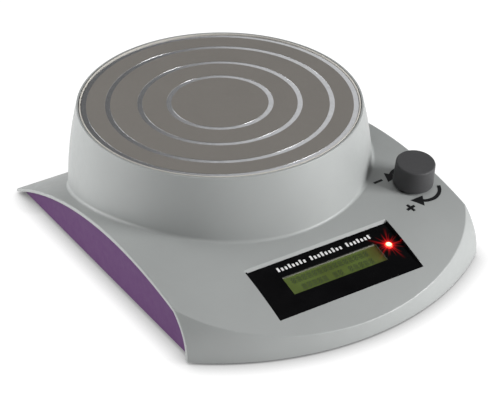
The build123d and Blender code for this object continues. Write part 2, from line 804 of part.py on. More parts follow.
with BuildPart() as core_screws:
    with BuildSketch(Plane.XY.offset(yoke_low - 3.2)):
        with Locations(*coil_points):
            Circle(4.25)
            RegularPolygon(2.3, 6, mode=Mode.SUBTRACT)
    extrude(amount=2.2)
    with BuildSketch(Plane.XY.offset(yoke_low - 1.0)):
        with Locations(*coil_points):
            Circle(4.25)
    extrude(amount=1.0)
    with BuildSketch(Plane.XY.offset(yoke_low)):
        with Locations(*coil_points):
            Circle(2.46)
    extrude(amount=13)
core_screws.part.label = "core_screws"

bobbin_low = yoke_low + yoke_t + 0.2
bobbin_high = core_top - 0.2
flange_t = 1.6
with BuildPart() as coil_bobbins:
    for level in (bobbin_low, bobbin_high - flange_t):
        with BuildSketch(Plane.XY.offset(level)):
            with Locations(*coil_points):
                Circle(bobbin_r)
                Circle(core_r + 0.1, mode=Mode.SUBTRACT)
        extrude(amount=flange_t)
    with BuildSketch(Plane.XY.offset(bobbin_low)):
        with Locations(*coil_points):
            Circle(core_r + 1.3)
            Circle(core_r + 0.1, mode=Mode.SUBTRACT)
    extrude(amount=bobbin_high - bobbin_low)
coil_bobbins.part.label = "coil_bobbins"

with BuildPart() as coil_windings:
    with BuildSketch(Plane.XY.offset(bobbin_low + flange_t + 0.05)):
        with Locations(*coil_points):
            Circle(bobbin_r - 1.5)
            Circle(core_r + 1.35, mode=Mode.SUBTRACT)
    extrude(amount=bobbin_high - bobbin_low - 2 * flange_t - 0.1)
coil_windings.part.label = "coil_windings"

with BuildPart() as yoke_pillars:
    with BuildSketch(Plane.XY.offset(cover_top)):
        with Locations(*pillar_points):
            RegularPolygon(pillar_r, 6)
            Circle(1.5, mode=Mode.SUBTRACT)
    extrude(amount=yoke_low - cover_top)
yoke_pillars.part.label = "yoke_pillars"


def screw_set(points, seat, head_r, head_h, shank_r, shank_l, up):
    """Pan-head screws: heads on the seat plane, shanks pointing up (1) or down (-1)."""
    with BuildPart() as screws:
        with BuildSketch(Plane.XY.offset(seat)):
            with Locations(*points):
                Circle(head_r)
        extrude(amount=-up * head_h)
        with BuildSketch(Plane.XY.offset(seat)):
            with Locations(*points):
                Circle(shank_r)
        extrude(amount=up * shank_l)
        with BuildSketch(Plane.XY.offset(seat - up * head_h)):
            with Locations(*points):
                Rectangle(head_r * 1.1, 0.5)
                Rectangle(0.5, head_r * 1.1)
        extrude(amount=up * head_h * 0.6, mode=Mode.SUBTRACT)
    return screws


pillar_base_screws = screw_set(pillar_points, cover_low, 2.8, 1.2, 1.48, 9, 1)
pillar_base_screws.part.label = "pillar_base_screws"
pillar_top_screws = screw_set(pillar_points, yoke_low + yoke_t, 2.8, 1.8, 1.48, 9, -1)
pillar_top_screws.part.label = "pillar_top_screws"


# ================= driver board =================
with BuildPart() as driver_board:
    with BuildSketch(Plane.XY.offset(driver_low)):
        with Locations((0, driver_y)):
            RectangleRounded(driver_w, driver_l, 2)
        with Locations(*driver_screw_points):
            Circle(1.4, mode=Mode.SUBTRACT)
    extrude(amount=board_t)
driver_board.part.label = "driver_board"

driver_board_screws = screw_set(driver_screw_points, driver_top, 2.6, 1.6, 1.05, 6, -1)
driver_board_screws.part.label = "driver_board_screws"

sink_y = 54.0
sink_w = 64.0
sink_h = 20.0
with BuildPart() as heat_sink:
    with BuildSketch(Plane.XY.offset(driver_top)):
        with Locations((0, sink_y)):
            Rectangle(sink_w, 4)
        with Locations((0, sink_y + 7.5)):
            with GridLocations(sink_w / 10 - 0.25, 0, 11, 1):
                Rectangle(1.6, 11.2)
    extrude(amount=sink_h)
heat_sink.part.label = "heat_sink"

transistor_points = [(x, sink_y - 2) for x in (-24, -8, 8, 24)]
with BuildPart() as power_transistors:
    for x, y in transistor_points:
        with BuildSketch(Plane.XY.offset(driver_top + 3.5)):
            with Locations((x, y - 0.65)):
                Rectangle(10, 1.3)
        extrude(amount=15)
        with BuildSketch(Plane.XY.offset(driver_top + 3.5)):
            with Locations((x, y - 2.95)):
                Rectangle(10, 3.3)
        extrude(amount=9)
        with BuildSketch(Plane.XY.offset(driver_top)):
            with Locations((x - 2.54, y - 2.6), (x, y - 2.6), (x + 2.54, y - 2.6)):
                Rectangle(0.9, 0.6)
        extrude(amount=3.5)
power_transistors.part.label = "power_transistors"

with BuildPart() as smoothing_capacitors:
    with BuildSketch(Plane.XY.offset(driver_top)):
        with Locations((-25, 20), (25, 20)):
            Circle(6.5)
    extrude(amount=18)
    fillet(smoothing_capacitors.faces().filter_by(Axis.Z).edges(), 0.8)
smoothing_capacitors.part.label = "smoothing_capacitors"

coil_plug_y = dome_y
inlet_plug = (-16.0, 79.0)
with BuildPart() as board_connectors:
    # sockets for the ribbon, the four coils and the power lead
    with BuildSketch(Plane.XY.offset(driver_top)):
        with Locations((0, -6)):
            Rectangle(20, 7)
        with Locations((0, coil_plug_y)):
            Rectangle(22, 8)
        with Locations(inlet_plug):
            Rectangle(12, 8)
    extrude(amount=8)
board_connectors.part.label = "board_connectors"

with BuildPart() as driver_chip:
    with BuildSketch(Plane.XY.offset(driver_top)):
        with Locations((-22, 0)):
            Rectangle(12, 12)
    extrude(amount=1.5)
driver_chip.part.label = "driver_chip"


# ================= wiring inside the casing =================
def wire(points, radius, bend):
    """Round lead along straight runs joined by arcs."""
    with BuildPart() as lead:
        with BuildLine() as route:
            FilletPolyline(*points, radius=bend)
        start = route.line @ 0
        with BuildSketch(Plane(origin=start, z_dir=route.line % 0)):
            Circle(radius)
        sweep()
    return lead.part


def coil_lead(index, pin_x):
    """From a winding in over the yoke, down through its middle hole, to the coil socket."""
    start = turned(coil_circle_r - bobbin_r + 1.4, 90 * index, tower_centre)
    inner = turned(8.0, 90 * index, tower_centre)
    pin = (pin_x, coil_plug_y)
    points = [
        (*start, coil_lead_z), (*inner, coil_lead_z), (*inner, 33), (*pin, 27), (*pin, socket_top)
    ]
    return wire(points, 0.9, 1.9)


socket_top = driver_top + 8
coil_lead_z = bobbin_low + flange_t + 1.6
coil_lead_set = [coil_lead(index, pin_x) for index, pin_x in enumerate((7.5, 2.5, -7.5, -2.5))]
with BuildPart() as coil_leads:
    add(coil_lead_set)
coil_leads.part.label = "coil_leads"

with BuildPart() as ribbon_cable:
    # flat cable from the display board back to the driver board
    ribbon_w = board_top - board_t - 3
    ribbon_v = ribbon_socket[1] + 3.05
    with BuildLine(Plane.YZ):
        ribbon_path = FilletPolyline(
            on_window(ribbon_v, ribbon_w), on_window(ribbon_v + 8, ribbon_w),
            (-57, 11), (-30, 10), (-20, 18), (-9.6, 18), radius=4,
        )
    with BuildSketch(Plane(origin=ribbon_path @ 0, x_dir=(1, 0, 0), z_dir=ribbon_path % 0)):
        Rectangle(16, 0.9)
    sweep()
ribbon_cable.part.label = "ribbon_cable"

lead_side = lead_socket[0] + lead_socket_w / 2 + 0.05
lead_start = on_window(lead_socket[1], board_top - board_t - header_h / 2)
header_foot = knob_plane.from_local_coords((*header_point, board_face - board_t - header_drop - 0.05))
header_below = header_foot - knob_plane.z_dir * 9
encoder_lead_run = wire(
    [
        (lead_side, *lead_start), (lead_side + 7, *lead_start), (65, -64, 11.5),
        tuple(header_below), tuple(header_foot),
    ],
    1.2, 3.5,
)
with BuildPart() as encoder_lead:
    add(encoder_lead_run)
encoder_lead.part.label = "encoder_lead"

face_y = dome_y + tower_r - 1.4  # flat sunk into the tower's back for the inlet
inlet_l = 14.0
tag_x = 2.5
tag_l = 4.0
with BuildPart() as dc_inlet:
    # threaded barrel socket with its centre pin, nut side inside the casing
    with BuildSketch(Plane.XZ.offset(-face_y)):
        with Locations((0, inlet_z)):
            Circle(7.2)
    extrude(amount=-1.0)
    with BuildSketch(Plane.XZ.offset(-face_y)):
        with Locations((0, inlet_z)):
            Circle(5.5)
    extrude(amount=inlet_l)
    with BuildSketch(Plane.XZ.offset(-face_y - 1.0)):
        with Locations((0, inlet_z)):
            Circle(2.85)
            Circle(1.05, mode=Mode.SUBTRACT)
    extrude(amount=10, mode=Mode.SUBTRACT)
    with BuildSketch(Plane.XZ.offset(-face_y + inlet_l)):
        with Locations((-tag_x, inlet_z), (tag_x, inlet_z)):
            Rectangle(2.0, 0.8)
    extrude(amount=tag_l)
dc_inlet.part.label = "dc_inlet"

with BuildPart() as dc_inlet_nut:
    with BuildSketch(Plane.XZ.offset(-(dome_y + tower_r - 5.5))):
        with Locations((0, inlet_z)):
            RegularPolygon(7, 6, major_radius=False)
            Circle(5.52, mode=Mode.SUBTRACT)
    extrude(amount=2)
dc_inlet_nut.part.label = "dc_inlet_nut"



def inlet_lead(side):
    """From one solder tag of the inlet forwards, then down into its socket."""
    tag_y = face_y - inlet_l - tag_l
    plug_x = inlet_plug[0] + side * tag_x
    points = [
        (side * tag_x, tag_y, inlet_z), (side * tag_x, tag_y - 10, inlet_z),
        (plug_x, inlet_plug[1], socket_top + 8), (plug_x, inlet_plug[1], socket_top),
    ]
    return wire(points, 0.9, 2.0)


inlet_lead_pair = [inlet_lead(-1), inlet_lead(1)]
with BuildPart() as dc_inlet_leads:
    add(inlet_lead_pair)
dc_inlet_leads.part.label = "dc_inlet_leads"

finished = [
    top_housing, bottom_cover, case_screws, side_panel_left, side_panel_right, rubber_feet,
    top_plate, plate_studs, plate_seal, plate_washers, plate_nuts,
    encoder_body, encoder_rotor, encoder_shaft, encoder_washer, encoder_nut, encoder_board,
    encoder_header, switch_dome, control_knob, knob_grub_screw,
    display_window, lcd_frame, lcd_glass, lcd_backlight, display_board, display_board_screws,
    display_chips, display_headers, status_led,
    coil_yoke, pole_cores, core_screws, coil_bobbins, coil_windings, yoke_pillars,
    pillar_base_screws, pillar_top_screws,
    driver_board, driver_board_screws, heat_sink, power_transistors, smoothing_capacitors,
    board_connectors, driver_chip, coil_leads, ribbon_cable, encoder_lead,
    dc_inlet, dc_inlet_nut, dc_inlet_leads,
]
for piece in finished:
    export_step(piece.part, f"parts/{piece.part.label}.step")
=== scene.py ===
import json
import math

import bmesh
import bpy
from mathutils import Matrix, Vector

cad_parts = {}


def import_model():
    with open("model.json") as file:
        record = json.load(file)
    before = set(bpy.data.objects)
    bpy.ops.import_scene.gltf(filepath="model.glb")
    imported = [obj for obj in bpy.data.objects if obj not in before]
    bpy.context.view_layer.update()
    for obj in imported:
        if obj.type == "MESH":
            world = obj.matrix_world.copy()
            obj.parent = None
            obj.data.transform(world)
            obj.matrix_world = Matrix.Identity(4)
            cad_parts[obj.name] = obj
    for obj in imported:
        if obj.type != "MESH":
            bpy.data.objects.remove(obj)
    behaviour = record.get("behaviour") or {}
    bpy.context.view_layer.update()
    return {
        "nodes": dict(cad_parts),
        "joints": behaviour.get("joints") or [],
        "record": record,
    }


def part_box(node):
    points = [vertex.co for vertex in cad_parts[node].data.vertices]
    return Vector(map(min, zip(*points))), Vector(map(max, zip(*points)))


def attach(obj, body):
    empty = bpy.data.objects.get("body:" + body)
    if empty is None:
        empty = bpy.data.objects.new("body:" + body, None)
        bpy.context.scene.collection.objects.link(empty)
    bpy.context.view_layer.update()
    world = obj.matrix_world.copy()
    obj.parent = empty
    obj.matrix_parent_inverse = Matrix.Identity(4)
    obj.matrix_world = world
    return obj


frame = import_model()
nodes = frame["nodes"]
joints = {joint["name"]: joint for joint in frame["joints"]}

MM = 0.001                      # the scene is in metres
BODY = "housing"

# ---- driving values: lengths in metres, angles in degrees ----
ARCH_R = 265.9 * MM             # radius of the base's arched top
FACE_FLATNESS = 0.1 * MM        # a flat face's corners lie within this of its plane
RING_TOP = 0.03 * MM            # the plate's bright rings begin this far under its face
RING_FULL = 0.12 * MM           # and are fully bright this far under it

INK_LIFT = 0.05 * MM            # print stands this far off the surface
INK_SINK = 0.12 * MM            # and reaches this far under it, past the facets
INK_STEP = 2.5 * MM             # longest edge of a printed face, so that it follows the arch
INK_PASSES = 4                  # halvings of the edges that are longer than that
CORNER_STEPS = 4                # points on each rounded corner of a printed bar

# places of the marks' middles and tips: (to the right, up the slope) from the knob's axis
MINUS_AT = (-17.6 * MM, 10.9 * MM)
PLUS_AT = (-13.9 * MM, -17.9 * MM)
ARROW_MORE_TIP = (-10.4 * MM, -12.4 * MM)
ARROW_LESS_TIP = (-12.5 * MM, 7.6 * MM)
ARROW_MORE_HEADING = -26.6      # from an arrow's tip to its stem
ARROW_LESS_HEADING = 43.5
MINUS_TURN = 4.0                # the minus and the plus are turned by these angles
PLUS_TURN = 12.0
ARROW_HEAD_L = 8.0 * MM
ARROW_HEAD_W = 8.8 * MM
ARROW_STEM_W = 2.3 * MM
ARROW_STEM_R = 11.6 * MM        # radius that the stem bends to
ARROW_STEM_TURN = 100.0         # length of its arc
ARROW_STEM_STEPS = 16
ARROW_OVERLAP = 0.2 * MM        # stem's reach into the head
MINUS_SIZE = (6.4 * MM, 1.8 * MM)
PLUS_ARM = 6.4 * MM
PLUS_STROKE = 1.8 * MM
MARK_ROUND = 0.3 * MM           # rounding of the bars' corners

GLASS_SINK = 0.05 * MM          # print on the flat window and glass reaches this far under them
TITLE_LIFT = 0.03 * MM          # and stands this far off them
DOT_LIFT = 0.015 * MM
WINDOW_T = 1.0 * MM             # thickness of the display window
CELL_PITCH = (3.55 * MM, 5.95 * MM)     # one character cell to the next, across and up
CELL_COLUMNS, CELL_ROWS = 5, 7  # dots in a cell
CELL_MIDDLE = 7.5               # column that the display's middle stands at
CELL_DOT = 0.52 * MM
CELL_DOT_ROUND = 0.02 * MM
CELL_DOT_PITCH = 0.6 * MM
UPPER_CELLS = tuple(range(0, 15))
LOWER_CELLS = (1, 2, 3, 4, 5, 7, 8, 10, 11, 12, 13, 14)

TITLE_U = -31.0 * MM            # left end of the row of blocks, from the middle of the casing
TITLE_V = 12.7 * MM             # up the slope from the display's middle
TITLE_H = 3.2 * MM              # height of a tall block
TITLE_LOW = 0.72                # height of a low block over that of a tall one
TITLE_BLOCK = 1.35 * MM         # width of a block
TITLE_PITCH = 2.52 * MM         # one block to the next
TITLE_GAP = 0.9                 # pitches left between two groups
TITLE_GROUPS = (8, 9, 7)        # blocks in each group
TITLE_ROUND = 0.25 * MM

LED_R = 1.8 * MM                # bright disc of the indicator
PAINTED_HALO_R = 6.5 * MM               # painted halo round it, drawn as emission
PAINTED_HALO_RAYS = (                   # rays of the painted halo: count, phase (radians), sharpness, length, brightness of each set
    (12, 0.35, 40, 10.0 * MM, 0.45),
    (7, 0.90, 60, 9.0 * MM, 0.50),
    (5, 0.20, 90, 14.0 * MM, 0.45),
)
LED_SPILL_NEAR, LED_SPILL_FAR = 4 * MM, 20 * MM   # painted spill of the indicator's red light: the display is brown up to the first distance from it, green past the second

NOISE_LOW, NOISE_HIGH = 0.3, 0.7        # nearly all of a noise texture's values lie between these
MIX_FACTOR = 0                          # sockets of a mix node: its factor,
MIX_FLOAT = (2, 3)                      # its two numbers
MIX_COLOUR = (6, 7)                     # or its two colours,
MIX_FLOAT_OUT, MIX_COLOUR_OUT = 0, 2    # and its results


# ================= places taken from the frame =================
plate_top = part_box("top_plate")[1].z
knob_pos = Vector(joints["knob_turn"]["pos_m"])
knob_axis = Vector(joints["knob_turn"]["axis"]).normalized()
arch_centre = knob_pos - knob_axis * ARCH_R
knob_lean = math.atan2(knob_axis.y, knob_axis.z)


def on_arch(u, v, lift):
    """Point on the base's arch: u to the right of the knob's axis, v up the slope from it."""
    lean = knob_lean + v / ARCH_R
    radius = ARCH_R + lift
    return Vector((
        knob_pos.x + u,
        arch_centre.y + radius * math.sin(lean),
        arch_centre.z + radius * math.cos(lean),
    ))


def top_face(node):
    """Middle and normal of a box-shaped node's upper face."""
    mesh = nodes[node].data
    face = max(mesh.polygons, key=lambda p: p.area * max(p.normal.z, 0))
    normal = face.normal.copy()
    level = max(v.co.dot(normal) for v in mesh.vertices)
    corners = [v.co for v in mesh.vertices if v.co.dot(normal) > level - FACE_FLATNESS]
    return sum(corners, Vector()) / len(corners), normal


lcd_centre, window_normal = top_face("lcd_glass")
slope_dir = window_normal.cross(Vector((1, 0, 0))).normalized()
window_back = min(v.co.dot(window_normal) for v in nodes["display_window"].data.vertices)
window_face = window_back + WINDOW_T - lcd_centre.dot(window_normal)


def on_display(u, v, lift):
    """Point over the display's glass: u to the right of its middle, v up the slope."""
    return lcd_centre + Vector((u, 0, 0)) + slope_dir * v + window_normal * lift


def on_window(u, v, lift):
    """The same on the window's front face."""
    return on_display(u, v, window_face + lift)


led_low, led_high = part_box("status_led")
led_centre = (led_low + led_high) / 2


# ================= materials =================
def new_material(name, **values):
    """Principled material with the given socket values."""
    mat = bpy.data.materials.new(name)
    mat.use_nodes = True
    shader = mat.node_tree.nodes["Principled BSDF"]
    for key, value in values.items():
        shader.inputs[key.replace("_", " ")].default_value = value
    return mat


def add_node(mat, kind, **settings):
    """New node of a kind, with the given attributes."""
    node = mat.node_tree.nodes.new(kind)
    for key, value in settings.items():
        setattr(node, key, value)
    return node


def wire(mat, source, target):
    """Link from an output to an input."""
    mat.node_tree.links.new(source, target)


def socket(mat, name):
    """The shader's input of that name."""
    return mat.node_tree.nodes["Principled BSDF"].inputs[name]


def object_point(mat):
    """The node tree's object coordinates, which are the frame's metres."""
    for node in mat.node_tree.nodes:
        if node.type == "TEX_COORD":
            return node.outputs["Object"]
    return add_node(mat, "ShaderNodeTexCoord").outputs["Object"]


def noise(mat, scale, detail=3.0, rough=0.55, stretch=None):
    """Noise over the object; scale counts features per metre."""
    texture = add_node(mat, "ShaderNodeTexNoise")
    texture.inputs["Scale"].default_value = scale
    texture.inputs["Detail"].default_value = detail
    texture.inputs["Roughness"].default_value = rough
    if stretch is None:
        wire(mat, object_point(mat), texture.inputs["Vector"])
    else:
        mapping = add_node(mat, "ShaderNodeMapping")
        mapping.inputs["Scale"].default_value = stretch
        wire(mat, object_point(mat), mapping.inputs["Vector"])
        wire(mat, mapping.outputs["Vector"], texture.inputs["Vector"])
    return texture.outputs["Fac"]


def blend_colours(mat, factor, first, second):
    """Colour from first to second as factor goes from 0 to 1."""
    mix = add_node(mat, "ShaderNodeMix", data_type="RGBA")
    wire(mat, factor, mix.inputs[MIX_FACTOR])
    for index, colour in zip(MIX_COLOUR, (first, second)):
        if isinstance(colour, bpy.types.NodeSocket):
            wire(mat, colour, mix.inputs[index])
        else:
            mix.inputs[index].default_value = (*colour, 1)
    return mix.outputs[MIX_COLOUR_OUT]


def blend_numbers(mat, factor, first, second):
    """Number from socket first to socket second as factor goes from 0 to 1."""
    mix = add_node(mat, "ShaderNodeMix", data_type="FLOAT")
    wire(mat, factor, mix.inputs[MIX_FACTOR])
    for index, number in zip(MIX_FLOAT, (first, second)):
        wire(mat, number, mix.inputs[index])
    return mix.outputs[MIX_FLOAT_OUT]


def remap(mat, value, low, high, to_low, to_high):
    """value, stretched so that low becomes to_low and high becomes to_high, and held between them."""
    node = add_node(mat, "ShaderNodeMapRange")
    wire(mat, value, node.inputs["Value"])
    for key, number in (("From Min", low), ("From Max", high), ("To Min", to_low), ("To Max", to_high)):
        node.inputs[key].default_value = number
    return node.outputs["Result"]


def drift(mat, texture, to_low=0, to_high=1):
    """A noise texture's values, stretched over the given range."""
    return remap(mat, texture, NOISE_LOW, NOISE_HIGH, to_low, to_high)


def maths(mat, operation, *values):
    """A math node on sockets or plain numbers."""
    node = add_node(mat, "ShaderNodeMath", operation=operation)
    for index, value in enumerate(values):
        if isinstance(value, bpy.types.NodeSocket):
            wire(mat, value, node.inputs[index])
        else:
            node.inputs[index].default_value = value
    return node.outputs[0]


def mottle(mat, colour, spread, scale):
    """Base colour that drifts a little lighter and darker over the surface."""
    lighter = tuple(c * (1 + spread) for c in colour)
    darker = tuple(c * (1 - spread) for c in colour)
    factor = drift(mat, noise(mat, scale))
    wire(mat, blend_colours(mat, factor, darker, lighter), socket(mat, "Base Color"))


def vary_roughness(mat, low, high, scale, stretch=None):
    """Gloss that drifts between two roughnesses."""
    texture = noise(mat, scale, stretch=stretch)
    wire(mat, drift(mat, texture, low, high), socket(mat, "Roughness"))


def bump(mat, height, strength, depth):
    """Relief from a height between 0 and 1; depth is in metres."""
    node = add_node(mat, "ShaderNodeBump")
    node.inputs["Strength"].default_value = strength
    node.inputs["Distance"].default_value = depth
    wire(mat, height, node.inputs["Height"])
    wire(mat, node.outputs["Normal"], socket(mat, "Normal"))


def moulded(name, colour, rough, grain=3200, depth=0.02 * MM, spread=0.03, **values):
    """Moulded plastic or rubber: fine spark-eroded grain, drifting colour and gloss."""
    mat = new_material(name, **values)
    mottle(mat, colour, spread, 22)
    vary_roughness(mat, rough - 0.05, rough + 0.05, 240)
    bump(mat, noise(mat, grain, 2), 0.35, depth)
    return mat


def machined(name, colour, rough, stretch=(1, 1, 12), **values):
    """Metal with fine tool marks along one direction."""
    mat = new_material(name, Metallic=1.0, **values)
    mottle(mat, colour, 0.06, 60)
    vary_roughness(mat, rough - 0.07, rough + 0.07, 900, stretch)
    bump(mat, noise(mat, 1500, 2, stretch=stretch), 0.25, 0.01 * MM)
    return mat


def plate_material():
    """Blasted steel; whatever lies under its face, the rings and the edge, is bright turned metal."""
    mat = new_material("plate_steel")
    split = add_node(mat, "ShaderNodeSeparateXYZ")
    wire(mat, object_point(mat), split.inputs[0])
    ring = remap(mat, split.outputs["Z"], plate_top - RING_FULL, plate_top - RING_TOP, 1, 0)
    grain = noise(mat, 2600, 3, 0.7)
    blasted = blend_colours(mat, drift(mat, grain), (0.184, 0.172, 0.157), (0.248, 0.232, 0.212))
    turned = blend_colours(mat, noise(mat, 300), (0.66, 0.67, 0.69), (0.78, 0.79, 0.81))
    wire(mat, blend_colours(mat, ring, blasted, turned), socket(mat, "Base Color"))
    wire(mat, remap(mat, ring, 0, 1, 0.45, 1.0), socket(mat, "Metallic"))
    satin = drift(mat, noise(mat, 90), 0.58, 0.68)
    glossy = drift(mat, noise(mat, 400), 0.16, 0.22)
    wire(mat, blend_numbers(mat, ring, satin, glossy), socket(mat, "Roughness"))
    bump(mat, grain, 0.3, 0.02 * MM)
    return mat


def led_polar(mat):
    """Distance (metres) and angle about the indicator's middle, in the window's plane."""
    offset = add_node(mat, "ShaderNodeVectorMath", operation="SUBTRACT")
    wire(mat, object_point(mat), offset.inputs[0])
    offset.inputs[1].default_value = led_centre
    parts = []
    for axis in (Vector((1, 0, 0)), slope_dir):
        dot = add_node(mat, "ShaderNodeVectorMath", operation="DOT_PRODUCT")
        wire(mat, offset.outputs["Vector"], dot.inputs[0])
        dot.inputs[1].default_value = axis
        parts.append(dot.outputs["Value"])
    across, up = parts
    square = maths(mat, "ADD", maths(mat, "MULTIPLY", across, across), maths(mat, "MULTIPLY", up, up))
    return maths(mat, "SQRT", square), maths(mat, "ARCTAN2", up, across)


def painted_halo_rays(mat, angle, count, phase, sharpness):
    """Factor that peaks along a number of rays round the indicator, for its painted halo."""
    turn = maths(mat, "ADD", maths(mat, "MULTIPLY", angle, count / 2), phase)
    return maths(mat, "POWER", maths(mat, "ABSOLUTE", maths(mat, "COSINE", turn)), sharpness)


def painted_led_halo(mat):
    """Painted halo of the indicator: emission that stands in for its light round it, with fine, uneven
    rays.
    """
    distance, angle = led_polar(mat)
    glow = maths(mat, "POWER", remap(mat, distance, LED_R, PAINTED_HALO_R, 1, 0), 3.0)
    for count, phase, sharpness, length, level in PAINTED_HALO_RAYS:
        reach = remap(mat, distance, LED_R, length, 1, 0)
        ray = painted_halo_rays(mat, angle, count, phase, sharpness)
        light = maths(mat, "MULTIPLY", maths(mat, "POWER", reach, 1.6), ray)
        glow = maths(mat, "ADD", glow, maths(mat, "MULTIPLY", light, level))
    return glow


def window_material():
    """Polished black acrylic with the indicator's red halo painted into it as emission."""
    mat = new_material("window_black", Specular_IOR_Level=0.25)
    mottle(mat, (0.0030, 0.0030, 0.0034), 0.2, 40)
    vary_roughness(mat, 0.10, 0.16, 120)
    bump(mat, noise(mat, 60), 0.05, 0.02 * MM)
    # painted halo: red emission on the window round the indicator, in rays
    socket(mat, "Emission Color").default_value = (1.0, 0.010, 0.014, 1)
    wire(mat, painted_led_halo(mat), socket(mat, "Emission Strength"))
    return mat


def lcd_material():
    """Display lit from behind: clouded green, with the indicator's red light painted in: brown at the end
    beside it, and a red halo.
    """
    mat = new_material("lcd_green", Roughness=0.25)
    cloud = drift(mat, noise(mat, 60, 2))
    green = blend_colours(mat, cloud, (0.043, 0.060, 0.011), (0.055, 0.080, 0.017))
    # painted spill of the indicator's red light: base and glow colour turn brown near it
    distance, _ = led_polar(mat)
    red_spill = maths(mat, "POWER", remap(mat, distance, LED_SPILL_NEAR, LED_SPILL_FAR, 1, 0), 1.1)
    green_with_red_spill = blend_colours(mat, red_spill, green, (0.036, 0.018, 0.003))
    # painted red halo of the indicator over the display's own glow
    lit = maths(mat, "MULTIPLY", painted_led_halo(mat), 2.0)
    wire(mat, green_with_red_spill, socket(mat, "Base Color"))
    wire(mat, blend_colours(mat, lit, green_with_red_spill, (0.40, 0.02, 0.01)), socket(mat, "Emission Color"))
    socket(mat, "Emission Strength").default_value = 0.6
    bump(mat, noise(mat, 4000, 1), 0.1, 0.005 * MM)
    return mat


def led_material():
    """Tinted lens, white-hot over the chip and red at its rim."""
    mat = new_material("led_red", Roughness=0.2)
    distance, _ = led_polar(mat)
    fleck = drift(mat, noise(mat, 1800), 0.9, 1.0)
    lens = blend_colours(mat, fleck, (0.75, 0.03, 0.02), (0.9, 0.05, 0.03))
    wire(mat, lens, socket(mat, "Base Color"))
    rim = remap(mat, distance, 0.85 * LED_R, 1.15 * LED_R, 0, 1)
    warm = remap(mat, distance, 0.30 * LED_R, 0.8 * LED_R, 0, 1)
    core = blend_colours(mat, warm, (1.0, 0.95, 0.90), (1.0, 0.84, 0.40))
    wire(mat, blend_colours(mat, rim, core, (1.0, 0.03, 0.02)), socket(mat, "Emission Color"))
    wire(mat, remap(mat, rim, 0, 1, 1.6, 1.0), socket(mat, "Emission Strength"))
    return mat


def board_material():
    """Solder mask over tracks: green with a fine raised network."""
    mat = new_material("board_green", Coat_Weight=0.4)
    cells = add_node(mat, "ShaderNodeTexVoronoi", feature="DISTANCE_TO_EDGE", distance="EUCLIDEAN")
    cells.inputs["Scale"].default_value = 260
    wire(mat, object_point(mat), cells.inputs["Vector"])
    track = remap(mat, cells.outputs["Distance"], 0.05, 0.09, 1, 0)
    mask = blend_colours(mat, track, (0.010, 0.085, 0.030), (0.030, 0.170, 0.060))
    wire(mat, mask, socket(mat, "Base Color"))
    vary_roughness(mat, 0.30, 0.42, 300)
    bump(mat, track, 0.4, 0.03 * MM)
    return mat


def winding_material():
    """Enamelled copper: level turns seen as fine ridges."""
    mat = new_material("copper_wire", Metallic=1.0)
    mottle(mat, (0.72, 0.30, 0.13), 0.10, 90)
    vary_roughness(mat, 0.24, 0.36, 300)
    turns = add_node(mat, "ShaderNodeTexWave", wave_type="BANDS", bands_direction="Z")
    turns.inputs["Scale"].default_value = 320
    turns.inputs["Distortion"].default_value = 0.4
    wire(mat, object_point(mat), turns.inputs["Vector"])
    bump(mat, turns.outputs["Fac"], 0.8, 0.15 * MM)
    return mat


MATERIALS = {
    "housing_grey": moulded("housing_grey", (0.313, 0.325, 0.321), 0.45),
    "panel_purple": moulded("panel_purple", (0.082, 0.028, 0.104), 0.50, Specular_IOR_Level=0.12),
    "cover_grey": moulded("cover_grey", (0.060, 0.062, 0.066), 0.50, grain=2200, depth=0.04 * MM),
    "plate_steel": plate_material(),
    "seal_grey": moulded("seal_grey", (0.52, 0.50, 0.46), 0.45, grain=2500),
    "rubber_black": moulded("rubber_black", (0.018, 0.018, 0.019), 0.75, spread=0.15),
    "screw_steel": machined("screw_steel", (0.60, 0.60, 0.62), 0.30),
    "knob_charcoal": moulded(
        "knob_charcoal", (0.037, 0.037, 0.039), 0.60, grain=3600, spread=0.06,
        Sheen_Weight=0.05, Sheen_Roughness=0.5,
    ),
    "shaft_steel": machined("shaft_steel", (0.64, 0.64, 0.66), 0.22),
    "encoder_case": machined("encoder_case", (0.50, 0.50, 0.51), 0.35),
    "rotor_black": moulded("rotor_black", (0.012, 0.012, 0.014), 0.40),
    "window_black": window_material(),
    "frame_metal": machined("frame_metal", (0.55, 0.54, 0.48), 0.38),
    "lcd_green": lcd_material(),
    "backlight_white": moulded("backlight_white", (0.75, 0.80, 0.62), 0.50),
    "led_red": led_material(),
    "board_green": board_material(),
    "chip_black": moulded("chip_black", (0.012, 0.012, 0.012), 0.45, grain=4000),
    "header_white": moulded("header_white", (0.70, 0.68, 0.60), 0.45),
    "core_iron": machined("core_iron", (0.20, 0.20, 0.20), 0.45),
    "yoke_steel": machined("yoke_steel", (0.46, 0.46, 0.47), 0.32, stretch=(1, 14, 1)),
    "bobbin_nylon": moulded("bobbin_nylon", (0.74, 0.72, 0.66), 0.42),
    "copper_wire": winding_material(),
    "pillar_brass": machined("pillar_brass", (0.72, 0.52, 0.20), 0.26),
    "sink_alu": machined("sink_alu", (0.16, 0.16, 0.17), 0.40),
    "capacitor_blue": moulded("capacitor_blue", (0.010, 0.016, 0.060), 0.30),
    "cable_grey": moulded("cable_grey", (0.24, 0.24, 0.25), 0.50),
    "lead_red": moulded("lead_red", (0.42, 0.012, 0.012), 0.40),
    "inlet_black": moulded("inlet_black", (0.014, 0.014, 0.015), 0.40),
}
INK_BLACK = moulded(
    "ink_black", (0.005, 0.005, 0.006), 0.60, grain=5000, spread=0.10,
    Specular_IOR_Level=0.2,
)
INK_WHITE = moulded("ink_white", (0.70, 0.70, 0.70), 0.50, grain=5000, spread=0.04)
SEGMENT_DARK = moulded("segment_dark", (0.016, 0.025, 0.007), 0.35, grain=5000, spread=0.10)

for part in frame["record"]["subparts"]:
    cad = nodes[part["node"]]
    for slot in cad.material_slots:
        slot.material = MATERIALS[part["material_slot"]]


